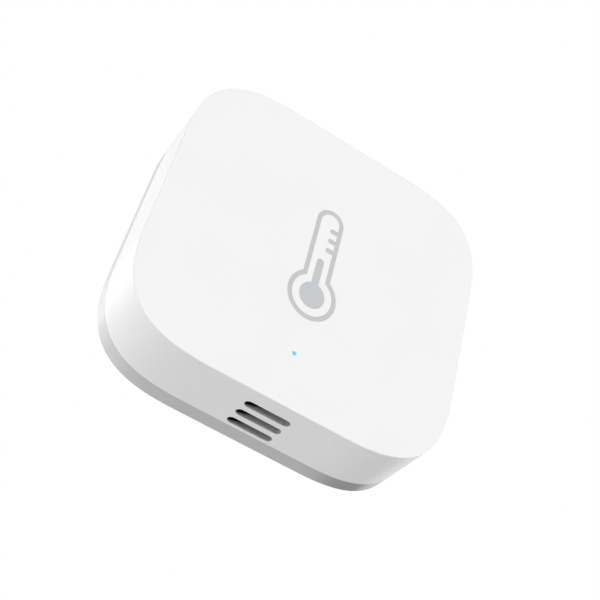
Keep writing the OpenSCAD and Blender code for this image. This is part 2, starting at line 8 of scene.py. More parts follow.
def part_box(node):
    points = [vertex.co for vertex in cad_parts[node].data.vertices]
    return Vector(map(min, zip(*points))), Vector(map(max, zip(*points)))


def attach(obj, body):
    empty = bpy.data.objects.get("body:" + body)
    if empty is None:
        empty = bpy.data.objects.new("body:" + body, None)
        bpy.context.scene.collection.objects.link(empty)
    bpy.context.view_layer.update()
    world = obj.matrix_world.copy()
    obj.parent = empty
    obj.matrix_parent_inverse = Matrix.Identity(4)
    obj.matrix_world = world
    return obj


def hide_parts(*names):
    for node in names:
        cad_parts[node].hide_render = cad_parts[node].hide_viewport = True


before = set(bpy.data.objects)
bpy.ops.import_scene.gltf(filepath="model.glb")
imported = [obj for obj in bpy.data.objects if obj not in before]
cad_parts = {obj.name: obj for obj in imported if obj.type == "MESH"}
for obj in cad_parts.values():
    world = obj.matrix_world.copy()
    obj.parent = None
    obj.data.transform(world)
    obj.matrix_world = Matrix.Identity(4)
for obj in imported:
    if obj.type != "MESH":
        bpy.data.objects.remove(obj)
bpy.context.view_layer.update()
scene = bpy.context.scene

mm = 0.001  # all sizes below are in millimetres
weldWidth = 0.0001  # points closer than this are one
spare = 0.2  # shapes that cut or join run this far past a face
near = 0.01  # room round a lip when its edges are looked for
sharpLip = 0.6  # least angle between the faces at a lip, in radians
cornerPower = 3.0  # fullness of the soft corners, where 2 is a plain arc
noiseSpan = (0.3, 0.7)  # most of a noise lies between these
plasticIor = 1.46
quarterTurn = math.pi / 2


# Node helpers, for materials and geometry alike

class Field:  # a node's output, where each sum or product of fields is a Math node
    def __init__(self, tree, socket):
        self.tree, self.socket = tree, socket

    def __add__(self, other):
        return calc("ADD", self, other)

    def __sub__(self, other):
        return calc("SUBTRACT", self, other)

    def __rsub__(self, other):
        return calc("SUBTRACT", other, self)

    def __mul__(self, other):
        return calc("MULTIPLY", self, other)

    def __truediv__(self, other):
        return calc("DIVIDE", self, other)

    def __pow__(self, other):
        return calc("POWER", self, other)

    def __neg__(self):
        return calc("MULTIPLY", self, -1)

    def __abs__(self):
        return calc("ABSOLUTE", self)

    __radd__ = __add__
    __rmul__ = __mul__


def feed(value, socket):
    if isinstance(value, Field):
        value.tree.links.new(value.socket, socket)
    else:
        socket.default_value = value


def addNode(tree, kind, inputs=(), output=0, **settings):
    node = tree.nodes.new(kind)
    for name, value in settings.items():
        setattr(node, name, value)
    for name, value in dict(inputs).items():
        feed(value, node.inputs[name])
    return Field(tree, node.outputs[output])


def treeOf(*values):
    return next(value.tree for value in values if isinstance(value, Field))


def calc(operation, *terms):
    return addNode(treeOf(*terms), "ShaderNodeMath", enumerate(terms), operation=operation)


def point(x, y, z):
    return addNode(treeOf(x, y, z), "ShaderNodeCombineXYZ", {"X": x, "Y": y, "Z": z})


def split(vector):
    node = addNode(vector.tree, "ShaderNodeSeparateXYZ", {"Vector": vector}).socket.node
    return [Field(vector.tree, part) for part in node.outputs]


def fromAxis(x, y, at=(0, 0)):
    return calc("SQRT", (x - at[0] * mm) ** 2 + (y - at[1] * mm) ** 2)


def remap(value, ends, low=0.0, high=1.0, kind="LINEAR"):
    spans = {"Value": value, "From Min": ends[0], "From Max": ends[1], "To Min": low, "To Max": high}
    return addNode(value.tree, "ShaderNodeMapRange", spans, "Result", interpolation_type=kind)


# Finishes: every one reads Object coordinates

def startFinish(name, spec):
    finish = bpy.data.materials.new(name)
    finish.use_nodes = True
    shader = finish.node_tree.nodes["Principled BSDF"].inputs
    shader["Metallic"].default_value = spec.get("metal", 0.0)
    shader["IOR"].default_value = spec.get("ior", plasticIor)
    shader["Coat Weight"].default_value = spec.get("coat", 0.0)
    return finish, addNode(finish.node_tree, "ShaderNodeTexCoord", output="Object")


def endFinish(finish, spec, colour, gloss, relief):
    shader = finish.node_tree.nodes["Principled BSDF"].inputs
    bump = {"Height": relief, "Distance": spec["depth"] * mm, "Strength": spec.get("relief", 1.0)}
    feed(colour, shader["Base Color"])
    feed(remap(gloss, noiseSpan, *spec["rough"]), shader["Roughness"])
    feed(addNode(finish.node_tree, "ShaderNodeBump", bump, "Normal"), shader["Normal"])
    return finish


def mottle(place, size, stretch=(1, 1, 1), detail=3.0):
    spread = [1 / (size * mm * axis) for axis in stretch]
    sized = addNode(place.tree, "ShaderNodeMapping", {"Vector": place, "Scale": spread})
    return addNode(place.tree, "ShaderNodeTexNoise", {"Vector": sized, "Scale": 1.0, "Detail": detail}, "Fac")


def blended(share, one, other):
    return one * share + other * (1 - share)


def toned(factor, ends, shade, tone):
    ramp = addNode(factor.tree, "ShaderNodeValToRGB", {"Fac": factor})
    for stop, position, colour in zip(ramp.socket.node.color_ramp.elements, ends, (shade, tone)):
        stop.position = position
        stop.color = (*colour, 1)
    return ramp


# two tones in patches of one size, a range of roughness, and grain of one size and depth
def look(tone, shade, patch, rough, grain, depth, **others):
    return dict(others, tone=tone, shade=shade, patch=patch, rough=rough, grain=grain, depth=depth)


def grainFinish(name, spec):
    finish, place = startFinish(name, spec)
    stretch = spec.get("stretch", (1, 1, 1))
    patches, grain = mottle(place, spec["patch"], stretch), mottle(place, spec["grain"], stretch)
    return endFinish(finish, spec, toned(patches, noiseSpan, spec["shade"], spec["tone"]), grain, grain)


# Mesh helpers

def boxOf(node):
    return [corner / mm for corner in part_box(node)]


def pick(spec, *keys):
    return [spec[key] for key in keys]


def addObject(name, data=None):
    thing = bpy.data.objects.new(name, data or bpy.data.meshes.new(name))
    scene.collection.objects.link(thing)
    return thing


def settle(piece):
    bpy.context.view_layer.update()
    graph = bpy.context.evaluated_depsgraph_get()
    mesh = bpy.data.meshes.new_from_object(piece.evaluated_get(graph), depsgraph=graph)
    piece.modifiers.clear()
    piece.data = mesh


def weld(bm):
    bmesh.ops.remove_doubles(bm, verts=bm.verts, dist=weldWidth * mm)
    bmesh.ops.dissolve_degenerate(bm, edges=bm.edges, dist=weldWidth * mm)


def faceOut(bm):
    weld(bm)
    bmesh.ops.recalc_face_normals(bm, faces=bm.faces)


def remake(piece, change):
    bm = bmesh.new()
    bm.from_mesh(piece.data)
    change(bm)
    bm.to_mesh(piece.data)
    bm.free()


def fromBmesh(name, bm, finish):
    faceOut(bm)
    mesh = bpy.data.meshes.new(name)
    bm.to_mesh(mesh)
    bm.free()
    mesh.materials.append(finish)
    return addObject(name, mesh)


def carve(piece, other, operation="DIFFERENCE"):
    step = piece.modifiers.new("carve", "BOOLEAN")
    step.operation = operation
    step.solver = "EXACT"
    step.material_mode = "TRANSFER"  # a cut face takes the cutter's finish
    step.object = other
    settle(piece)
    bpy.data.objects.remove(other)
    remake(piece, weld)  # a cut along a face leaves doubles


def softenLips(piece, width, low, high):
    def bevel(bm):
        lips = []
        for edge in bm.edges:
            spans = [span for corner in edge.verts for span in zip(low, corner.co / mm, high)]
            inside = all(least - near < value < most + near for least, value, most in spans)
            if inside and len(edge.link_faces) == 2 and edge.calc_face_angle() > sharpLip:
                lips.append(edge)
        bmesh.ops.bevel(bm, geom=lips, offset=width * mm, segments=3, profile=0.5, affect="EDGES",
                        clamp_overlap=True)
    remake(piece, bevel)


def finishPiece(piece, body, node=None, sharpFrom=35):
    mesh = piece.data
    mesh.polygons.foreach_set("use_smooth", [True] * len(mesh.polygons))
    mesh.set_sharp_from_angle(angle=math.radians(sharpFrom))
    piece.modifiers.new("evenShading", "WEIGHTED_NORMAL").keep_sharp = True
    settle(piece)
    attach(piece, body)
    if node:
        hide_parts(node)
    print(piece.name + ":", len(piece.data.polygons), "faces")


def vert(bm, x, y, z):
    return bm.verts.new((x * mm, y * mm, z * mm))


def bridge(bm, rings):
    for low, high in zip(rings, rings[1:]):
        for i in range(max(len(low), len(high))):
            j = i + 1
            corners = [low[i % len(low)], low[j % len(low)], high[j % len(high)], high[i % len(high)]]
            corners = list(dict.fromkeys(corners))
            if len(corners) > 2:
                bm.faces.new(corners)


def turned(bm, at, profile, steps=64, closed=False):
    rings = []
    for radius, height in profile:
        count = steps if radius > weldWidth else 1  # one point on the axis
        turns = [2 * math.pi * i / steps for i in range(count)]
        spots = [(at[0] + radius * math.cos(t), at[1] + radius * math.sin(t)) for t in turns]
        rings.append([vert(bm, x, y, height) for x, y in spots])
    bridge(bm, rings + rings[:1] if closed else rings)


def rod(bm, at, radius, low, high):
    turned(bm, at, [(0, low), (radius, low), (radius, high), (0, high)])


def rodAlongY(bm, x, z, radius, halfLength, steps=48):
    place = Matrix.Translation((x * mm, 0, z * mm)) @ Matrix.Rotation(quarterTurn, 4, "X")
    bmesh.ops.create_cone(bm, cap_ends=True, segments=steps, radius1=radius * mm, radius2=radius * mm,
                          depth=2 * halfLength * mm, matrix=place)


def fillet(at, radius, start, end, steps=6, rise=None):
    turns = [math.radians(start + (end - start) * i / steps) for i in range(steps + 1)]
    return [(at[0] + radius * math.cos(t), at[1] + (rise or radius) * math.sin(t)) for t in turns]


def stadiumBar(bm, z, sections, steps=24):
    rings = []
    for length, height, y in sections:
        flat, radius = (length - height) / 2, height / 2
        ring = fillet((flat, 0), radius, -90, 90, steps) + fillet((-flat, 0), radius, 90, 270, steps)
        rings.append([vert(bm, x, y, z + up) for x, up in ring])
    bridge(bm, rings)
    bm.faces.new(rings[0])
    bm.faces.new(list(reversed(rings[-1])))


def block(bm, low, high):
    low, high = Vector(low) * mm, Vector(high) * mm
    shape = Matrix.Translation((low + high) / 2) @ Matrix.Diagonal((*(high - low), 1))
    bmesh.ops.create_cube(bm, size=1, matrix=shape)


# Geometry Nodes helpers: a tree's inputs have the names that the pieces' dictionaries use

def startTree(name, sizes, counts=(), mesh=None):
    tree = bpy.data.node_groups.new(name, "GeometryNodeTree")
    tree.interface.new_socket("mesh", in_out="OUTPUT", socket_type="NodeSocketGeometry")
    kinds = {mesh: "Geometry"} if mesh else {}
    kinds.update({**dict.fromkeys(sizes, "Float"), **dict.fromkeys(counts, "Int"), "finish": "Material"})
    for key, kind in kinds.items():
        tree.interface.new_socket(key, in_out="INPUT", socket_type="NodeSocket" + kind)
    group = tree.nodes.new("NodeGroupInput")
    return tree, {key: Field(tree, group.outputs[key]) for key in kinds}


def endTree(mesh, finish):
    real = addNode(mesh.tree, "GeometryNodeRealizeInstances", {"Geometry": mesh})
    dressed = addNode(mesh.tree, "GeometryNodeSetMaterial", {"Geometry": real, "Material": finish})
    feed(dressed, mesh.tree.nodes.new("NodeGroupOutput").inputs[0])
    return mesh.tree


def join(*meshes):
    node = meshes[0].tree.nodes.new("GeometryNodeJoinGeometry")
    for mesh in meshes:
        feed(mesh, node.inputs[0])
    return Field(meshes[0].tree, node.outputs[0])


def moved(mesh, position):
    return addNode(mesh.tree, "GeometryNodeSetPosition", {"Geometry": mesh, "Position": position})


def placed(mesh, **change):
    return addNode(mesh.tree, "GeometryNodeTransform", {"Geometry": mesh, **change})


def copies(points, shape, **more):
    return addNode(points.tree, "GeometryNodeInstanceOnPoints", {"Points": points, "Instance": shape, **more})


def lineOf(count, start, offset):
    line = {"Count": count, "Start Location": start, "Offset": offset}
    return addNode(start.tree, "GeometryNodeMeshLine", line)


def grow(name, tree, spec, finish, mesh=None):
    piece = addObject(name, mesh)
    step = piece.modifiers.new(name, "NODES")
    step.node_group = tree
    values = {**spec, "finish": finish}
    for item in tree.interface.items_tree:
        if item.in_out == "INPUT" and item.name in values:
            value = values[item.name]
            step[item.identifier] = value * mm if item.socket_type == "NodeSocketFloat" else value
    settle(piece)
    remake(piece, faceOut)
    return piece


# A square with full, soft corners, as a solid with a rounded edge below and above

def outlineAt(given, column, inset, height):
    half, reach, steps = pick(given, "half", "reach", "cornerSteps")
    quarter = calc("FLOOR", (column + 0.5) / (steps + 1))
    turn = (column - quarter * (steps + 1)) / steps * quarterTurn
    across, along = (calc("MAXIMUM", calc(wave, turn), 0) for wave in ("COSINE", "SINE"))
    spread = (across ** cornerPower + along ** cornerPower) ** (1 / cornerPower)
    flat, bow = half - reach, (reach - inset) / spread
    spot = {"Vector": point(flat + bow * across, flat + bow * along, height), "Angle": quarter * quarterTurn}
    return addNode(column.tree, "ShaderNodeVectorRotate", spot, rotation_type="Z_AXIS")


def softSquareTree():
    sizes = ["half", "reach", "low", "high", "lowEdge", "highEdge"]
    tree, given = startTree("softSquareBody", sizes, ["cornerSteps", "edgeSteps"])
    steps = given["edgeSteps"]
    columns, rows = (given["cornerSteps"] + 1) * 4, (steps + 1) * 2
    sheet = {"Size X": 1, "Size Y": 1, "Vertices X": columns + 1, "Vertices Y": rows}
    sheet = addNode(tree, "GeometryNodeMeshGrid", sheet, "Mesh")
    x, y, z = split(addNode(tree, "GeometryNodeInputPosition"))
    column = calc("ROUND", (x + 0.5) * columns)
    row = calc("ROUND", (y + 0.5) * (rows - 1))
    upper = calc("GREATER_THAN", row, steps + 0.5)
    lower = 1 - upper
    turn = (row - upper * (steps + 1)) / steps * quarterTurn
    fromSine, fromCosine = 1 - calc("SINE", turn), 1 - calc("COSINE", turn)
    lowEdge, highEdge = given["lowEdge"] * lower, given["highEdge"] * upper
    inset = lowEdge * fromSine + highEdge * fromCosine
    rise = lowEdge * fromCosine - highEdge * fromSine
    height = given["low"] * lower + given["high"] * upper + rise
    parts = [moved(sheet, outlineAt(given, column, inset, height))]
    for end in ("low", "high"):
        disc = addNode(tree, "GeometryNodeMeshCircle", {"Vertices": columns}, fill_type="NGON")
        index = addNode(tree, "GeometryNodeInputIndex")
        parts.append(moved(disc, outlineAt(given, index, given[end + "Edge"], given[end])))
    return endTree(join(*parts), given["finish"])


softSquare = softSquareTree()


def softSquareBody(name, finish, **sizes):
    plain = {"lowEdge": 0.0, "highEdge": 0.0, "cornerSteps": 64, "edgeSteps": 6}
    return grow(name, softSquare, {**plain, **sizes}, finish)


# Studio: white floor, light that comes up from it, brightest on the left, and a soft key overhead

studio = {
    "eye": (-31.253, -79.085, 93.498),
    "right": (0.8415474, 0.2192107, 0.4937051),
    "down": (0.4725354, -0.7415895, -0.4761883),
    "lens": 70.29, "floorHalf": 2000.0, "floorDrop": 0.02,
    "skyGlow": 0.05, "floorGlow": 0.85, "horizon": (-0.03, 0.03),
    # each glow: the way it comes from, the cosines where it starts and is full, and its strength
    "glowsBelow": {
        "left": ((-1.0, 0.0, 0.0), (0.0, 0.6), 0.76),
        "peak": ((-0.43, 0.51, -0.74), (0.93, 0.995), 0.52),
        "side": ((-0.65, 0.17, -0.74), (0.9, 0.995), 0.62),
        "front": ((-0.3, -0.65, -0.7), (0.7, 0.98), 0.4),
    },
    "glowsBeside": {
        "right": ((0.99, 0.14, 0.0), (0.75, 0.97), 2.15),
        "back": ((0.4, 0.9, 0.45), (0.82, 0.98), 0.8),
    },
    "darkCard": ((0.585, -0.245, -0.78), (0.94, 0.991)),  # low on the right
    "keyFrom": (-0.1, 0.0, 0.99), "keySpread": 42.0, "keyPower": 2.99,
}


def makeCamera(spec):
    right, down = Vector(spec["right"]), Vector(spec["down"])
    eye = addObject("photoCamera", bpy.data.cameras.new("photoCamera"))
    eye.data.lens = spec["lens"]
    eye.data.clip_start = mm
    turn = Matrix((right, -down, down.cross(right))).transposed()
    eye.matrix_world = Matrix.Translation(Vector(spec["eye"]) * mm) @ turn.to_4x4()
    scene.camera = eye


def makeFloor(spec):
    paint = bpy.data.materials.new("whiteFloor")
    paint.use_nodes = True
    tree = paint.node_tree
    tree.nodes.clear()
    glow = addNode(tree, "ShaderNodeEmission", {"Strength": 1.0})
    feed(glow, tree.nodes.new("ShaderNodeOutputMaterial").inputs["Surface"])
    bm = bmesh.new()
    far, low = spec["floorHalf"], -spec["floorDrop"]
    bm.faces.new([vert(bm, x * far, y * far, low) for x, y in ((-1, -1), (1, -1), (1, 1), (-1, 1))])
    floor = fromBmesh("whiteFloor", bm, paint)
    for ray in ("diffuse", "glossy", "transmission", "volume_scatter", "shadow"):
        setattr(floor, "visible_" + ray, False)  # the sky below gives the floor's light


def lobe(way, centre, edge, strength=1.0):
    facing = {0: way, 1: Vector(centre).normalized()}
    cosine = addNode(way.tree, "ShaderNodeVectorMath", facing, "Value", operation="DOT_PRODUCT")
    return remap(cosine, edge, 0.0, strength, "SMOOTHSTEP")


def makeLight(spec):
    sky = bpy.data.worlds.new("softSky")
    scene.world = sky
    sky.use_nodes = True
    tree = sky.node_tree
    tree.nodes.clear()
    way = addNode(tree, "ShaderNodeTexCoord", output="Generated")
    above = lobe(way, (0, 0, 1), spec["horizon"])
    below = (1 - above) * (1 - lobe(way, *spec["darkCard"]))
    fromFloor = sum((lobe(way, *glow) for glow in spec["glowsBelow"].values()), spec["floorGlow"])
    total = above * spec["skyGlow"] + below * fromFloor
    total = sum((lobe(way, *glow) for glow in spec["glowsBeside"].values()), total)
    soft = addNode(tree, "ShaderNodeBackground", {"Color": (1, 1, 1, 1), "Strength": total})
    white = addNode(tree, "ShaderNodeBackground", {"Color": (1, 1, 1, 1), "Strength": 1.0})
    seen = addNode(tree, "ShaderNodeLightPath", output="Is Camera Ray")
    mix = addNode(tree, "ShaderNodeMixShader", {0: seen, 1: soft, 2: white})
    feed(mix, tree.nodes.new("ShaderNodeOutputWorld").inputs["Surface"])
    key = addObject("softKey", bpy.data.lights.new("softKey", "SUN"))
    key.data.energy = spec["keyPower"]
    key.data.angle = math.radians(spec["keySpread"])
    key.matrix_world = Vector(spec["keyFrom"]).to_track_quat("Z", "Y").to_matrix().to_4x4()
    scene.view_settings.view_transform = "Standard"


makeCamera(studio)
makeFloor(studio)
makeLight(studio)
print("studio: camera, floor and light")


# Front shell: white, with air slots in one wall and the reset button's hole in the opposite one

boardLow, boardHigh = boxOf("circuit_board")
shellLow, shellHigh = boxOf("front_housing")
capLow, capHigh = boxOf("reset_button")
buttonZ = (capLow.z + capHigh.z) / 2

frontShell = {
    "half": shellHigh.x, "reach": 12.0, "low": shellLow.z, "high": shellHigh.z,
    "topEdge": 0.1, "seamEdge": 0.02,
    "wall": 1.5, "face": 1.2, "cavityEdge": 0.35,
    "slots": {"count": 3, "pitch": 1.8, "first": 3.285, "length": 4.95, "height": 1.05},
    "lip": 0.03,
    "buttonHole": (4.2, 1.6),
    "postAt": 11.7, "postRadius": 1.6, "pegRadius": 0.6, "pegTip": boardLow.z - 0.3, "pegChamfer": 0.15,
    "pilotRadius": 0.73, "pilotTop": boardLow.z + 3.0,
    "lightAt": (0.0, -12.0), "bossRadius": 1.6, "bossLow": 6.95,
    "boreRadius": 0.9, "shoulder": 8.7, "tipRadius": 0.25,
    "grooveX": 16.04, "grooveZ": 2.95, "grooveRadius": 0.6, "grooveHalf": 4.2,
    "markDepth": 0.12, "markGap": 0.004,
    "finish": look((0.82, 0.82, 0.82), (0.805, 0.805, 0.807), 9.0, (0.26, 0.34), 0.16, 0.001, ior=1.36),
    # the slots' inner faces: painted light that brightens with depth, under a painted shade that darkens them
    # towards the left end and further in
    "slotPaintedShadeFinish": {"tone": (0.43, 0.71), "toneDepth": (0.15, 0.38), "dark": 0.006, "darkLean": 1.6,
                   "darkEdge": (1.54, 1.84), "speckle": 0.1, "rough": (0.5, 0.62), "grain": 0.16,
                   "depth": 0.002, "ior": 1.2},
}

thermometerMark = {
    "top": 6.68, "bulbY": -3.99, "bulbRadius": 2.77, "tubeHalf": 1.595, "line": 0.515,
    "discRadius": 1.445, "columnHalf": 0.42, "columnTop": 0.49,
    "ticks": (4.29, 3.06, 1.85), "tickLine": 0.56, "tickReach": 0.89,
    "tall": 1.104, "turn": 1.15,  # printed a little taller than drawn, and not quite upright
    "ink": (0.509, 0.51, 0.516), "bulbInk": (0.503, 0.512, 0.526),
    "inkChange": (-5.0, 0.5), "inkScatter": 2.5,  # heights between which one ink turns into the other
    "finish": {"rough": (0.5, 0.62), "grain": 0.12, "depth": 0.001},
}


def bulbAndTube(bulbY, bulbRadius, tubeHalf, tubeTop, ticks=(), tickHalf=0.0, tickEnd=0.0):
    lean = math.degrees(math.acos(tubeHalf / bulbRadius))
    loop = []
    for y in sorted(ticks):
        loop.append((tubeHalf, y - tickHalf))
        loop += fillet((tickEnd + tickHalf, y), tickHalf, 270, 90, steps=16)
        loop.append((tubeHalf, y + tickHalf))
    loop += fillet((0, tubeTop), tubeHalf, 0, 180, steps=48)
    loop += fillet((0, bulbY), bulbRadius, 180 - lean, 360 + lean, steps=96)
    return loop


def markLoops(spec, gap):
    bulbY, bulb, tube, line = pick(spec, "bulbY", "bulbRadius", "tubeHalf", "line")
    tubeTop, inTube = spec["top"] - tube, tube - line
    column = spec["columnHalf"]
    outer = bulbAndTube(bulbY, bulb + gap, tube + gap, tubeTop)
    tickHalf, tickEnd = spec["tickLine"] / 2 + gap, inTube - spec["tickReach"] - gap
    inner = bulbAndTube(bulbY, bulb - line - gap, inTube - gap, tubeTop, spec["ticks"], tickHalf, tickEnd)
    fill = bulbAndTube(bulbY, spec["discRadius"] + gap, column + gap, spec["columnTop"] - column)
    return [[outer, inner], [fill]]


def markBody(name, spec, low, high, gap, finish):
    bm = bmesh.new()
    across, along = math.cos(math.radians(spec["turn"])), math.sin(math.radians(spec["turn"]))
    for group in markLoops(spec, gap):
        edges = []
        for loop in group:
            tall = [(x, y * spec["tall"]) for x, y in loop]
            spots = [vert(bm, x * across - y * along, x * along + y * across, low) for x, y in tall]
            edges += [bm.edges.new((a, b)) for a, b in zip(spots, spots[1:] + spots[:1])]
        bmesh.ops.triangle_fill(bm, edges=edges, use_beauty=True)
    lifted = bmesh.ops.extrude_face_region(bm, geom=bm.faces[:])["geom"]
    rise = [v for v in lifted if isinstance(v, bmesh.types.BMVert)]
    bmesh.ops.translate(bm, verts=rise, vec=(0, 0, (high - low) * mm))
    return fromBmesh(name, bm, finish)


def ventSlotTree():
    tree, given = startTree("airSlots", ["pitch", "first", "length", "height", "front", "depth"], ["count"])
    bar = {"Vertices": 64, "Radius": given["height"] / 2, "Depth": given["depth"]}
    bar = placed(addNode(tree, "GeometryNodeMeshCylinder", bar, "Mesh"), Rotation=(quarterTurn, 0, 0))
    flat = given["length"] - given["height"]
    ends = copies(lineOf(2, point(flat / -2, 0, 0), point(flat, 0, 0)), bar)
    ends = addNode(tree, "GeometryNodeRealizeInstances", {"Geometry": ends})
    slot = addNode(tree, "GeometryNodeConvexHull", {"Geometry": ends})
    rows = lineOf(given["count"], point(0, given["front"], given["first"]), point(0, 0, given["pitch"]))
    return endTree(copies(rows, slot), given["finish"])


# Painted light and shade for the slots' inner faces: the tone rises with depth, and a painted shade darkens
# it towards the left end and further in, down to a darkest tone
def slotPaintedShadeFinish(name, spec, front, length):
    finish, place = startFinish(name, spec)
    x, y, z = split(place)
    grain = mottle(place, spec["grain"])
    depth = (y - front * mm) / mm
    toRight = (length / 2 * mm - x) / (length * mm)
    # painted shade: grows with depth and towards the left end
    paintedShadeLine = depth + toRight * spec["darkLean"] + (grain - 0.5) * spec["speckle"]  # the left end is dark
    tone = remap(depth, spec["toneDepth"], *spec["tone"]) * remap(paintedShadeLine, spec["darkEdge"], 1.0, 0.0)
    tone = calc("MAXIMUM", tone, spec["dark"])
    return endFinish(finish, spec, point(tone, tone, tone), grain, grain)


def makeFrontShell(spec):
    white = grainFinish("satinWhite", spec["finish"])
    half, reach, low, high, wall = pick(spec, "half", "reach", "low", "high", "wall")
    roof = high - spec["face"]
    shell = softSquareBody("frontShell", white, half=half, reach=reach, low=low, high=high,
                           lowEdge=spec["seamEdge"], highEdge=spec["topEdge"])
    carve(shell, softSquareBody("cavity", white, half=half - wall, reach=reach - wall, low=low - spare,
                                high=roof, highEdge=spec["cavityEdge"]))

    bm = bmesh.new()
    seat, into = boardHigh.z, roof + spare  # posts run into the roof
    at, post, peg, tip, chamfer = pick(spec, "postAt", "postRadius", "pegRadius", "pegTip", "pegChamfer")
    for side in (-1, 1):
        rod(bm, (-side * at, side * at), post, seat, into)
        turned(bm, (side * at, side * at), [(0, tip), (peg - chamfer, tip), (peg, tip + chamfer), (peg, seat),
                                            (post, seat), (post, into), (0, into)])
    rod(bm, spec["lightAt"], spec["bossRadius"], spec["bossLow"], into)
    carve(shell, fromBmesh("posts", bm, white), "UNION")

    slots = spec["slots"]
    # the slots' cut faces take the finish with painted light and shade
    shade = slotPaintedShadeFinish("slotPaintedShade", spec["slotPaintedShadeFinish"], -half, slots["length"])
    through = {**slots, "front": -half + wall / 2, "depth": 2 * wall}
    carve(shell, grow("airSlots", ventSlotTree(), through, shade))

    bm = bmesh.new()
    for side in (-1, 1):
        rod(bm, (-side * at, side * at), spec["pilotRadius"], seat - spare, spec["pilotTop"])
        rodAlongY(bm, side * spec["grooveX"], spec["grooveZ"], spec["grooveRadius"], spec["grooveHalf"])
    bore, tip, shoulder = pick(spec, "boreRadius", "tipRadius", "shoulder")
    entry, top = spec["bossLow"] - spare, high + spare
    stepped = [(0, entry), (bore, entry), (bore, shoulder), (tip, shoulder), (tip, top), (0, top)]
    turned(bm, spec["lightAt"], stepped)
    length, height = spec["buttonHole"]
    stadiumBar(bm, buttonZ, [(length, height, half - wall - spare), (length, height, half + spare)])
    carve(shell, fromBmesh("holes", bm, white))
    floor = high - spec["markDepth"]
    carve(shell, markBody("markPocket", thermometerMark, floor, top, spec["markGap"], white))

    last = slots["first"] + slots["pitch"] * (slots["count"] - 1)
    for y, lowest, highest, wide, tall in ((-half, slots["first"], last, slots["length"], slots["height"]),
                                           (half, buttonZ, buttonZ, length, height)):
        softenLips(shell, spec["lip"], (-wide / 2, y, lowest - tall / 2), (wide / 2, y, highest + tall / 2))
    finishPiece(shell, "housing", "front_housing")


def inkFinish(name, spec):
    finish, place = startFinish(name, spec["finish"])
    x, y, z = split(place)
    grain = mottle(place, spec["finish"]["grain"])
    low, high = spec["inkChange"]
    height = y / mm + (grain - 0.5) * spec["inkScatter"]
    colour = toned((height - low) / (high - low), (0.0, 1.0), spec["bulbInk"], spec["ink"])
    return endFinish(finish, spec["finish"], colour, grain, grain)


def makeThermometerMark(spec):
    high, ink = shellHigh.z, inkFinish("greyInk", spec)
    mark = markBody("thermometerMark", spec, high - frontShell["markDepth"], high, 0.0, ink)
    finishPiece(mark, "housing", "thermometer_print")


makeFrontShell(frontShell)
makeThermometerMark(thermometerMark)


# Light guide: a clear pipe whose tip is the cyan dot on the face

lightGuide = {
    "tipRadius": 0.22, "tipDome": 0.05, "pipeRadius": 0.85, "flangeRadius": 1.25, "bevel": 0.06,
    "top": 9.3, "shoulder": 8.7, "flangeTop": 6.95, "flangeLow": 6.7,
    "core": (0.09, 0.5, 0.52), "rim": (0.24, 0.72, 0.74), "coreShare": 0.3, "glow": 0.2,
    "finish": {"rough": (0.12, 0.2), "grain": 0.2, "depth": 0.0005, "ior": 1.49},
}


def glowFinish(name, spec):
    finish, place = startFinish(name, spec["finish"])
    x, y, z = split(place)
    share = fromAxis(x, y, frontShell["lightAt"]) / (spec["tipRadius"] * mm)
    colour = toned(share, (spec["coreShare"], 1.0), spec["core"], spec["rim"])
    shader = finish.node_tree.nodes["Principled BSDF"].inputs
    feed(colour, shader["Emission Color"])
    shader["Emission Strength"].default_value = spec["glow"]
    grain = mottle(place, spec["finish"]["grain"])
    return endFinish(finish, spec["finish"], colour, grain, grain)


def makeLightGuide(spec):
    tip, dome, pipe, flange, bevel = pick(spec, "tipRadius", "tipDome", "pipeRadius", "flangeRadius", "bevel")
    top, shoulder, ledge, low = pick(spec, "top", "shoulder", "flangeTop", "flangeLow")
    profile = [(0, low), (flange - bevel, low), (flange, low + bevel), (flange, ledge), (pipe, ledge),
               (pipe, shoulder - bevel), (pipe - bevel, shoulder), (tip, shoulder)]
    bm = bmesh.new()
    turned(bm, frontShell["lightAt"], profile + fillet((0, top - dome), tip, 0, 90, rise=dome), steps=48)
    guide = fromBmesh("lightGuide", bm, glowFinish("cyanGuide", spec))
    finishPiece(guide, "housing", "light_pipe")


makeLightGuide(lightGuide)


# Rear tray: grey base with the rim that the shell clips onto

trayLow, trayHigh = boxOf("rear_cover")

rearTray = {
    "half": trayHigh.x, "reach": 12.0, "low": trayLow.z, "part": shellLow.z, "rim": trayHigh.z,
    "bottomEdge": 0.12, "seamEdge": 0.02, "rimEdge": 0.12, "hollowEdge": 0.25,
    "rimInset": 1.7, "rimThick": 0.9, "floor": 1.5,
    "beadX": 16.04, "beadZ": 2.95, "beadRadius": 0.4, "beadHalf": 4.0,
    "restRadius": (6.0, 7.0), "restTop": 1.67,
    "ventGap": 3.45, "buttonGap": 3.2,
    "pryDepth": 0.9, "pryHalf": 2.5, "pryHeight": 0.6,
    "padHalf": 13.1, "padReach": 7.1, "padTop": 0.8,
    "finish": look((0.41, 0.415, 0.425), (0.4, 0.405, 0.415), 7.0, (0.17, 0.23), 0.16, 0.001, ior=2.0),
}


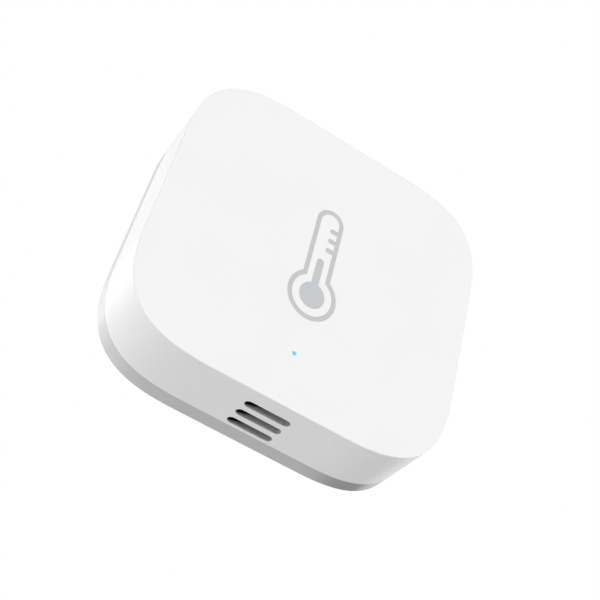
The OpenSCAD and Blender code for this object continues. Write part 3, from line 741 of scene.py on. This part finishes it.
def makeRearTray(spec):
    grey = grainFinish("satinGrey", spec["finish"])
    half, reach, low, part, rim, floor = pick(spec, "half", "reach", "low", "part", "rim", "floor")
    inset, deep = spec["rimInset"], spec["rimInset"] + spec["rimThick"]
    tray = softSquareBody("rearTray", grey, half=half, reach=reach, low=low, high=part,
                          lowEdge=spec["bottomEdge"], highEdge=spec["seamEdge"])
    carve(tray, softSquareBody("rim", grey, half=half - inset, reach=reach - inset, low=part - spare,
                               high=rim, highEdge=spec["rimEdge"]), "UNION")
    bm = bmesh.new()
    for side in (-1, 1):
        rodAlongY(bm, side * spec["beadX"], spec["beadZ"], spec["beadRadius"], spec["beadHalf"])
    carve(tray, fromBmesh("beads", bm, grey), "UNION")
    carve(tray, softSquareBody("hollow", grey, half=half - deep, reach=reach - deep, low=floor,
                               high=rim + spare, lowEdge=spec["hollowEdge"]))
    carve(tray, softSquareBody("recess", grey, half=spec["padHalf"], reach=spec["padReach"],
                               low=low - spare, high=spec["padTop"]))
    bm = bmesh.new()
    vent, button, over = spec["ventGap"], spec["buttonGap"], deep + spare
    block(bm, (-vent, -half, part), (vent, over - half, rim + spare))
    block(bm, (-button, half - over, part), (button, half, rim + spare))
    depth, pryHalf, pryHeight = pick(spec, "pryDepth", "pryHalf", "pryHeight")
    block(bm, (half - depth, -pryHalf, part - pryHeight), (half + spare, pryHalf, part + spare))
    carve(tray, fromBmesh("gaps", bm, grey))
    bm = bmesh.new()
    (inner, outer), foot, top = spec["restRadius"], floor - spare, spec["restTop"]
    turned(bm, (0, 0), [(inner, foot), (outer, foot), (outer, top), (inner, top)], steps=96, closed=True)
    carve(tray, fromBmesh("cellRest", bm, grey), "UNION")
    finishPiece(tray, "base", "rear_cover")


makeRearTray(rearTray)


# Foam pad: double-sided tape in the tray's recess

padLow, padHigh = boxOf("adhesive_pad")

foamPad = {
    "half": padHigh.x, "reach": 7.0, "low": padLow.z, "high": padHigh.z, "lowEdge": 0.18, "highEdge": 0.18,
    "cornerSteps": 32, "edgeSteps": 5,
    "fill": 0.9,
    "finish": look((0.78, 0.78, 0.76), (0.66, 0.66, 0.64), 3.0, (0.75, 0.92), 0.22, 0.03, relief=0.7, ior=1.4,
                   poreShare=0.6, toneEnds=(0.25, 0.6)),
}


def foamFinish(name, spec):
    finish, place = startFinish(name, spec)
    cells = {"Vector": place, "Scale": 1 / (spec["grain"] * mm)}
    pores = addNode(place.tree, "ShaderNodeTexVoronoi", cells, "Distance")
    patches = mottle(place, spec["patch"])
    mixed = blended(spec["poreShare"], pores, patches)
    return endFinish(finish, spec, toned(mixed, *pick(spec, "toneEnds", "shade", "tone")), patches, pores)


def makeFoamPad(spec):
    pad = grow("foamPad", softSquare, spec, foamFinish("whiteFoam", spec["finish"]))
    finishPiece(pad, "base", "adhesive_pad")


makeFoamPad(foamPad)


# Reset cap: the button in the wall opposite the slots

resetCap = {
    "face": (4.0, 1.4), "ears": (5.2, 1.4), "nose": (1.8, 0.7),
    "noseEnd": 15.7, "earsBack": 16.05, "earsFront": 16.45, "front": 17.9, "edge": 0.2,
    "finish": look((0.8, 0.8, 0.8), (0.785, 0.785, 0.787), 2.0, (0.4, 0.5), 0.14, 0.002),
}


def makeResetCap(spec):
    face, ears, nose, edge = pick(spec, "face", "ears", "nose", "edge")
    noseEnd, back, front = pick(spec, "noseEnd", "earsBack", "earsFront")
    sections = [(*nose, noseEnd), (*nose, back), (*ears, back), (*ears, front), (*face, front)]
    for out, rise in fillet((0, 0), edge, 0, 90):
        inset = 2 * (edge - out)
        sections.append((face[0] - inset, face[1] - inset, spec["front"] - edge + rise))
    bm = bmesh.new()
    stadiumBar(bm, buttonZ, sections)
    cap = fromBmesh("resetCap", bm, grainFinish("capWhite", spec["finish"]))
    finishPiece(cap, "button", "reset_button")


makeResetCap(resetCap)


# Coin cell: a pressed can with a rolled lip, a sealing ring and a cap

canLow, canHigh = boxOf("cell_can")

coinCell = {
    "radius": canHigh.x, "low": canLow.z, "canTop": canHigh.z, "capTop": boxOf("cell_cap")[1].z,
    "steel": 0.25, "lip": 0.85, "gap": 0.05, "bend": 0.35, "sealEdge": 0.06,
    "canFinish": look((0.66, 0.66, 0.665), (0.5, 0.5, 0.505), 4.0, (0.2, 0.34), 0.06, 0.002, metal=1.0,
                      toneEnds=(0.35, 0.62)),
    "capFinish": look((0.7, 0.7, 0.7), (0.56, 0.56, 0.56), 4.0, (0.16, 0.3), 0.04, 0.0015, metal=1.0,
                      toneEnds=(0.35, 0.62)),
    "sealFinish": look((0.06, 0.06, 0.062), (0.04, 0.04, 0.041), 1.5, (0.5, 0.65), 0.1, 0.004),
}


def turnedSteelFinish(name, spec):
    finish, place = startFinish(name, spec)
    x, y, z = split(place)
    rings = mottle(point(fromAxis(x, y), 0, z), spec["grain"], detail=4.0)  # fine rings round the middle
    mixed = (rings + mottle(place, spec["patch"])) / 2
    return endFinish(finish, spec, toned(mixed, *pick(spec, "toneEnds", "shade", "tone")), mixed, rings)


def turnedPiece(name, profile, finish, closed=False):
    bm = bmesh.new()
    turned(bm, (0, 0), profile, steps=128, closed=closed)
    return fromBmesh(name, bm, finish)


def makeCoinCell(spec):
    out, low, top, crown = pick(spec, "radius", "low", "canTop", "capTop")
    steel, gap, bend, edge = pick(spec, "steel", "gap", "bend", "sealEdge")
    lip, half, inBend = out - spec["lip"], steel / 2, bend - steel
    lowBend, topBend = (out - bend, low + bend), (out - bend, top - bend)
    can = [(0, low)] + fillet(lowBend, bend, -90, 0) + fillet(topBend, bend, 0, 90)
    can += fillet((lip + half, top - half), half, 90, 270) + fillet(topBend, inBend, 90, 0)
    can += fillet(lowBend, inBend, 0, -90) + [(0, low + steel)]
    can = turnedPiece("cellCan", can, turnedSteelFinish("canSteel", spec["canFinish"]))
    finishPiece(can, "housing", "cell_can")

    foot, neck = low + steel + gap, lip - gap
    inner, outer, shoulder = neck - steel, out - steel - gap, top - steel - gap
    seal = [(inner, foot), (outer, foot), (outer, shoulder - edge), (outer - edge, shoulder),
            (neck, shoulder), (neck, top - edge), (neck - edge, top),
            (inner + edge, top), (inner, top - edge)]
    seal = turnedPiece("cellSeal", seal, grainFinish("sealBlack", spec["sealFinish"]), closed=True)
    finishPiece(seal, "housing", "cell_seal")

    wall = inner - gap
    capBend = (wall - bend, crown - bend)
    cap = [(wall - steel, foot), (wall, foot)] + fillet(capBend, bend, 0, 90)
    cap += [(0, crown), (0, crown - steel)] + fillet(capBend, inBend, 90, 0)
    cap = turnedPiece("cellCap", cap, turnedSteelFinish("capSteel", spec["capFinish"]), closed=True)
    finishPiece(cap, "housing", "cell_cap")


makeCoinCell(coinCell)


# Board screws: pan heads with a cross recess, and a thread on the shank

boardScrews = {
    "at": frontShell["postAt"], "seat": boardLow.z,
    "headRadius": 1.3, "headHeight": 0.8, "recessLength": 1.6, "recessWidth": 0.4, "recessDepth": 0.4,
    "shank": 0.71, "core": 0.54, "pitch": 0.5, "length": 2.8, "point": 0.6,
    "finish": look((0.62, 0.62, 0.63), (0.46, 0.46, 0.47), 0.8, (0.24, 0.4), 0.07, 0.003, metal=1.0),
}


def boardScrewTree():
    sizes = ["headRadius", "headHeight", "recessLength", "recessWidth", "recessDepth",
             "shank", "core", "pitch", "length", "point", "seat", "at"]
    tree, given = startTree("boardScrews", sizes)
    x, y, z = split(addNode(tree, "GeometryNodeInputPosition"))

    # a ball pressed to a pan head
    ball = addNode(tree, "GeometryNodeMeshUVSphere", {"Segments": 48, "Rings": 24, "Radius": 1.0}, "Mesh")
    press = given["headRadius"] / calc("SQRT", calc("MAXIMUM", fromAxis(x, y), weldWidth))
    lift = calc("SQRT", abs(z)) * calc("SIGN", z)
    halfHead = given["headHeight"] / 2
    head = moved(ball, point(x * press, y * press, (lift - 1) * halfHead))

    # a rod whose radius follows a helix, with a point at its end
    sunk = halfHead / 2
    depth = given["length"] + sunk
    stick = {"Vertices": 32, "Side Segments": 90, "Radius": 1.0, "Depth": depth}
    stick = addNode(tree, "GeometryNodeMeshCylinder", stick, "Mesh")
    up = z + depth / 2
    phase = calc("FRACT", up / given["pitch"] - calc("ARCTAN2", y, x) / (2 * math.pi))
    ridge = 1 - abs(phase * 2 - 1)
    radius = given["core"] + ridge * (given["shank"] - given["core"])
    tipShare = 0.2  # the shank's width at its very end
    wide = radius * calc("MINIMUM", (depth - up) / given["point"] * (1 - tipShare) + tipShare, 1)
    shank = moved(stick, point(x * wide, y * wide, up - sunk))

    long, thin, high = given["recessLength"], given["recessWidth"], given["recessDepth"] * 2
    bars = [addNode(tree, "GeometryNodeMeshCube", {"Size": size}, "Mesh")
            for size in (point(long, thin, high), point(thin, long, high))]
    cross = placed(join(*bars), Translation=point(0, 0, -given["headHeight"]))
    solids = {"Mesh 1": join(head, shank), "Mesh 2": cross, "Self Intersection": True}
    screw = addNode(tree, "GeometryNodeMeshBoolean", solids, "Mesh", operation="DIFFERENCE", solver="EXACT")
    at = given["at"]
    pair = lineOf(2, point(-at, at, given["seat"]), point(at * 2, at * -2, 0))
    return endTree(copies(pair, screw), given["finish"])


def makeBoardScrews(spec):
    screws = grow("boardScrews", boardScrewTree(), spec, grainFinish("screwSteel", spec["finish"]))
    finishPiece(screws, "housing", "board_screws")


makeBoardScrews(boardScrews)


# Solder round the radio chip, copper lines on the board, and plated holes at its edge and the lines' ends

chipLow, chipHigh = boxOf("radio_chip")
chipMiddle = (chipLow + chipHigh) / 2

radioPads = {
    "half": chipHigh.x - chipMiddle.x, "centreX": chipMiddle.x, "centreY": chipMiddle.y,
    "seat": boardHigh.z, "count": 11, "pitch": 0.5, "padLength": 0.56, "padWidth": 0.26, "padHeight": 0.12,
    "finish": look((0.72, 0.72, 0.74), (0.55, 0.55, 0.57), 0.3, (0.22, 0.36), 0.06, 0.003, metal=1.0),
}

boardLines = {
    "seat": boardHigh.z, "width": 0.24, "height": 0.03, "sunk": 0.005,
    # each bundle: count, first start, step, first end, step, axis it leaves along, lead, step of the lead,
    # and the size of the hole at a line's end
    "bundles": {
        "toCapacitors": (5, (-0.75, 2.0), (0, 1.0), (0.1, 1.6), (0, 1.2), 0, 0.2, 0, 0),
        "toSupply": (4, (0.9, 2.8), (0, 1.2), (2.4, 2.8), (0, 1.2), 0, 0.5, 0, 0),
        "supply": (1, (2.4, 2.7), (0, 0), (5.4, 12.0), (0, 0), 1, 4.6, 0, 1.4),
        "antennaFeed": (1, (0.9, 1.6), (0, 0), (12.2, -7.05), (0, 0), 0, 1.5, 0, 0),
        "toResistors": (5, (-6.0, 0.75), (1.0, 0), (-6.4, -0.1), (1.2, 0), 1, 0.2, 0, 0),
        "toCrystal": (3, (-5.2, -0.9), (1.2, 0), (-5.2, -2.1), (1.2, 0), 1, 0.4, 0, 0),
        "toSensor": (2, (-6.4, -0.9), (4.8, 0), (-1.15, -13.5), (1.15, 3.1), 1, 4.0, 2.5, 1),
        "toHeader": (6, (-7.25, 1.5), (0, 1.0), (-13.2, -2.25), (0, 1.7), 0, 0.5, 0.25, 2.3),
        "toSwitch": (4, (-5.5, 7.25), (1.0, 0), (-1.8, 12.2), (1.2, 0), 1, 0.3, 0.05, 1),
        "toLight": (1, (0.7, -12.0), (0, 0), (6.2, -9.5), (0, 0), 0, 1.4, 0, 1),
    },
    "finish": look((0.03, 0.25, 0.1), (0.024, 0.21, 0.085), 1.2, (0.22, 0.34), 0.2, 0.003, coat=0.25),
}

edgeVias = {
    "half": 15.3, "reach": 9.3, "low": boardLow.z, "high": boardHigh.z, "cornerSteps": 24,
    "spacing": 1.5, "ring": 0.2, "wire": 0.07,
    # places with no holes, from side to side and from vented side to button side
    "clear": {"button": ((-4.2, 4.2), (13.5, 16.0)), "sensor": ((-3.4, 3.4), (-16.0, -11.5)),
              "antenna": ((10.8, 16.0), (-8.4, 8.4))},
    "finish": look((0.82, 0.62, 0.28), (0.66, 0.47, 0.2), 0.4, (0.2, 0.32), 0.05, 0.002, metal=1.0),
}


def radioPadTree():
    sizes = ["half", "pitch", "padLength", "padWidth", "padHeight", "seat", "centreX", "centreY"]
    tree, given = startTree("radioPads", sizes, ["count"])
    ball = addNode(tree, "GeometryNodeMeshUVSphere", {"Segments": 12, "Rings": 8, "Radius": 0.5}, "Mesh")
    pad = placed(ball, Scale=point(*pick(given, "padLength", "padWidth", "padHeight")))
    first = point(given["half"], (given["count"] - 1) / -2 * given["pitch"], 0)
    row = copies(lineOf(given["count"], first, point(0, given["pitch"], 0)), pad)
    centre = point(*pick(given, "centreX", "centreY", "seat"))
    sides = [placed(row, Rotation=(0, 0, side * quarterTurn), Translation=centre) for side in range(4)]
    return endTree(join(*sides), given["finish"])


def bentLine(start, end, axis, lead):
    cross = 1 - axis
    way = math.copysign(1, end[axis] - start[axis])
    bend, turn = list(start), list(end)
    bend[axis] += way * lead
    turn[axis] = bend[axis] + way * abs(end[cross] - start[cross])  # the middle stretch runs at 45 degrees
    spots = [start, bend, turn, end]
    return [spot for spot, following in zip(spots, spots[1:]) if spot != following] + [end]


def linePaths(spec):
    spots, edges, holes = [], [], []
    height = spec["seat"] + spec["height"] / 2 - spec["sunk"]
    for count, start, startStep, end, endStep, axis, lead, leadStep, hole in spec["bundles"].values():
        for i in range(count):
            first = [a + i * b for a, b in zip(start, startStep)]
            last = [a + i * b for a, b in zip(end, endStep)]
            line = bentLine(first, last, axis, lead + i * leadStep)
            edges += [(len(spots) + k, len(spots) + k + 1) for k in range(len(line) - 1)]
            spots += [(x * mm, y * mm, height * mm) for x, y in line]
            holes += [0.0] * (len(line) - 1) + [hole]
    mesh = bpy.data.meshes.new("boardLines")
    mesh.from_pydata(spots, edges, [])
    mesh.attributes.new("hole", "FLOAT", "POINT").data.foreach_set("value", holes)
    return mesh


def boardLineTree():
    tree, given = startTree("boardLines", ["width", "height"], mesh="paths")
    path = addNode(tree, "GeometryNodeMeshToCurve", {"Mesh": given["paths"]})
    path = addNode(tree, "GeometryNodeSetCurveNormal", {"Curve": path}, mode="Z_UP")
    across = {"Width": given["width"], "Height": given["height"]}
    across = addNode(tree, "GeometryNodeCurvePrimitiveQuadrilateral", across)
    ribbon = {"Curve": path, "Profile Curve": across, "Fill Caps": True}
    return endTree(addNode(tree, "GeometryNodeCurveToMesh", ribbon), given["finish"])


def within(value, low, high):
    return calc("COMPARE", value, (low + high) / 2 * mm, (high - low) / 2 * mm)


def circle(tree, steps, radius):
    return addNode(tree, "GeometryNodeCurvePrimitiveCircle", {"Resolution": steps, "Radius": radius}, "Curve")


def edgeViaTree(clear):
    sizes = ["half", "reach", "low", "high", "spacing", "ring", "wire"]
    tree, given = startTree("edgeVias", sizes, ["cornerSteps"], mesh="lineEnds")
    loop = addNode(tree, "GeometryNodeMeshCircle", {"Vertices": (given["cornerSteps"] + 1) * 4})
    loop = moved(loop, outlineAt(given, addNode(tree, "GeometryNodeInputIndex"), 0, 0))
    edge = addNode(tree, "GeometryNodeMeshToCurve", {"Mesh": loop})
    evenly = {"Curve": edge, "Length": given["spacing"]}
    spots = addNode(tree, "GeometryNodeCurveToPoints", evenly, "Points", mode="LENGTH")
    x, y, z = split(addNode(tree, "GeometryNodeInputPosition"))
    taken = sum(within(x, *across) * within(y, *along) for across, along in clear.values())
    spots = addNode(tree, "GeometryNodeDeleteGeometry", {"Geometry": spots, "Selection": taken})
    ring = {"Curve": circle(tree, 16, given["ring"]), "Profile Curve": circle(tree, 6, given["wire"])}
    ring = addNode(tree, "GeometryNodeCurveToMesh", ring)
    hole = addNode(tree, "GeometryNodeInputNamedAttribute", {"Name": "hole"}, "Attribute", data_type="FLOAT")
    drilled = {"Selection": calc("GREATER_THAN", hole, 0), "Scale": point(hole, hole, 1)}
    rings = [copies(given["lineEnds"], ring, **drilled)]
    for end in ("low", "high"):
        rings.append(placed(copies(spots, ring), Translation=point(0, 0, given[end])))
    return endTree(join(*rings), given["finish"])


def makeBoardDetail(name, tree, spec, finishName, mesh=None):
    detail = grow(name, tree, spec, grainFinish(finishName, spec["finish"]), mesh)
    finishPiece(detail, "housing", sharpFrom=60)


paths = linePaths(boardLines)
makeBoardDetail("radioPads", radioPadTree(), radioPads, "padTin")
makeBoardDetail("boardLines", boardLineTree(), boardLines, "lineGreen", paths)
makeBoardDetail("edgeVias", edgeViaTree(edgeVias["clear"]), edgeVias, "viaGold", paths)


# Finishes of the CAD pieces that stay as they are

springBronze = look((0.82, 0.7, 0.46), (0.66, 0.53, 0.3), 0.9, (0.2, 0.34), 0.05, 0.002, metal=1.0)

innerFinishes = {
    "switch_body": look((0.035, 0.035, 0.037), (0.025, 0.025, 0.026), 0.8, (0.45, 0.6), 0.07, 0.004),
    "switch_cover": look((0.66, 0.66, 0.67), (0.52, 0.52, 0.53), 0.9, (0.22, 0.36), 0.05, 0.002, metal=1.0,
                         stretch=(6, 1, 1)),
    "switch_plunger": look((0.78, 0.74, 0.62), (0.73, 0.69, 0.57), 0.6, (0.4, 0.52), 0.06, 0.003),
    "switch_terminals": look((0.7, 0.7, 0.72), (0.54, 0.54, 0.56), 0.3, (0.24, 0.4), 0.05, 0.004, metal=1.0),
    "status_led": look((0.8, 0.88, 0.86), (0.7, 0.8, 0.78), 0.4, (0.12, 0.22), 0.08, 0.001, ior=1.52,
                       coat=0.4),
    "humidity_sensor": look((0.03, 0.03, 0.032), (0.018, 0.018, 0.02), 0.5, (0.5, 0.64), 0.05, 0.004),
    "clock_crystal": look((0.68, 0.68, 0.69), (0.55, 0.55, 0.56), 0.8, (0.2, 0.34), 0.05, 0.002, metal=1.0,
                          stretch=(8, 1, 1)),
    "antenna_trace": look((0.8, 0.56, 0.27), (0.64, 0.42, 0.18), 0.7, (0.24, 0.38), 0.05, 0.002, metal=1.0),
    "chip_capacitors": look((0.5, 0.36, 0.22), (0.4, 0.27, 0.15), 0.25, (0.42, 0.58), 0.05, 0.003),
    "chip_resistors": look((0.04, 0.04, 0.045), (0.022, 0.022, 0.026), 0.25, (0.3, 0.42), 0.05, 0.002),
    "chip_terminals": look((0.72, 0.72, 0.74), (0.54, 0.54, 0.56), 0.2, (0.22, 0.4), 0.04, 0.004, metal=1.0),
    "battery_holder": look((0.034, 0.034, 0.036), (0.024, 0.024, 0.025), 2.5, (0.48, 0.62), 0.1, 0.006),
    "positive_contact": {**springBronze, "stretch": (1, 8, 1)},
    "negative_contact": {**springBronze, "stretch": (8, 1, 1)},
    "cell_core": look((0.06, 0.06, 0.065), (0.03, 0.03, 0.033), 0.5, (0.7, 0.9), 0.12, 0.02),
}

boardLook = {
    "mask": (0.013, 0.135, 0.052), "light": (0.019, 0.175, 0.07), "maskEnds": (0.25, 0.75), "maskThick": 0.03,
    "edge": (0.5, 0.42, 0.22), "edgeShade": (0.4, 0.336, 0.176),
    "weave": 0.5, "weaveShare": 0.4, "rough": (0.22, 0.34), "grain": 0.3, "depth": 0.003, "coat": 0.25,
}

radioLook = {
    "body": (0.02, 0.02, 0.022), "dot": (0.075, 0.075, 0.08), "dotEnds": (0.0, 0.9), "dotShare": 0.8,
    "dotAt": (chipMiddle.x - 2.2, chipMiddle.y + 2.2), "dotRadius": 0.35,
    "rough": (0.48, 0.64), "grain": 0.06, "depth": 0.004,
}


def boardFinish(name, spec):
    finish, place = startFinish(name, spec)
    x, y, z = split(place)
    turn = 2 * math.pi / (spec["weave"] * mm)
    weave = calc("SINE", x * turn) * calc("SINE", y * turn) * 0.5 + 0.5  # glass cloth under the mask
    grain = mottle(place, spec["grain"])
    tint = blended(spec["weaveShare"], weave, grain)
    face = toned(tint, *pick(spec, "maskEnds", "mask", "light"))
    laminate = toned(grain, noiseSpan, spec["edgeShade"], spec["edge"])
    inner = within(z, boardLow.z + spec["maskThick"], boardHigh.z - spec["maskThick"])
    colour = addNode(place.tree, "ShaderNodeMix", {0: inner, 6: face, 7: laminate}, 2, data_type="RGBA")
    return endFinish(finish, spec, colour, grain, tint)


def radioFinish(name, spec):
    finish, place = startFinish(name, spec)
    x, y, z = split(place)
    inDot = calc("LESS_THAN", fromAxis(x, y, spec["dotAt"]), spec["dotRadius"] * mm)
    grain = mottle(place, spec["grain"])
    tint = blended(spec["dotShare"], inDot, grain)
    return endFinish(finish, spec, toned(tint, *pick(spec, "dotEnds", "body", "dot")), grain, grain - inDot)


def dress(node, finish):
    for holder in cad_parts[node].material_slots:
        holder.material = finish


for node, spec in innerFinishes.items():
    first, *others = node.split("_")
    dress(node, grainFinish(first + "".join(word.title() for word in others), spec))
dress("circuit_board", boardFinish("greenBoard", boardLook))
dress("radio_chip", radioFinish("radioBlack", radioLook))
print("CAD pieces dressed:", len(innerFinishes) + 2)
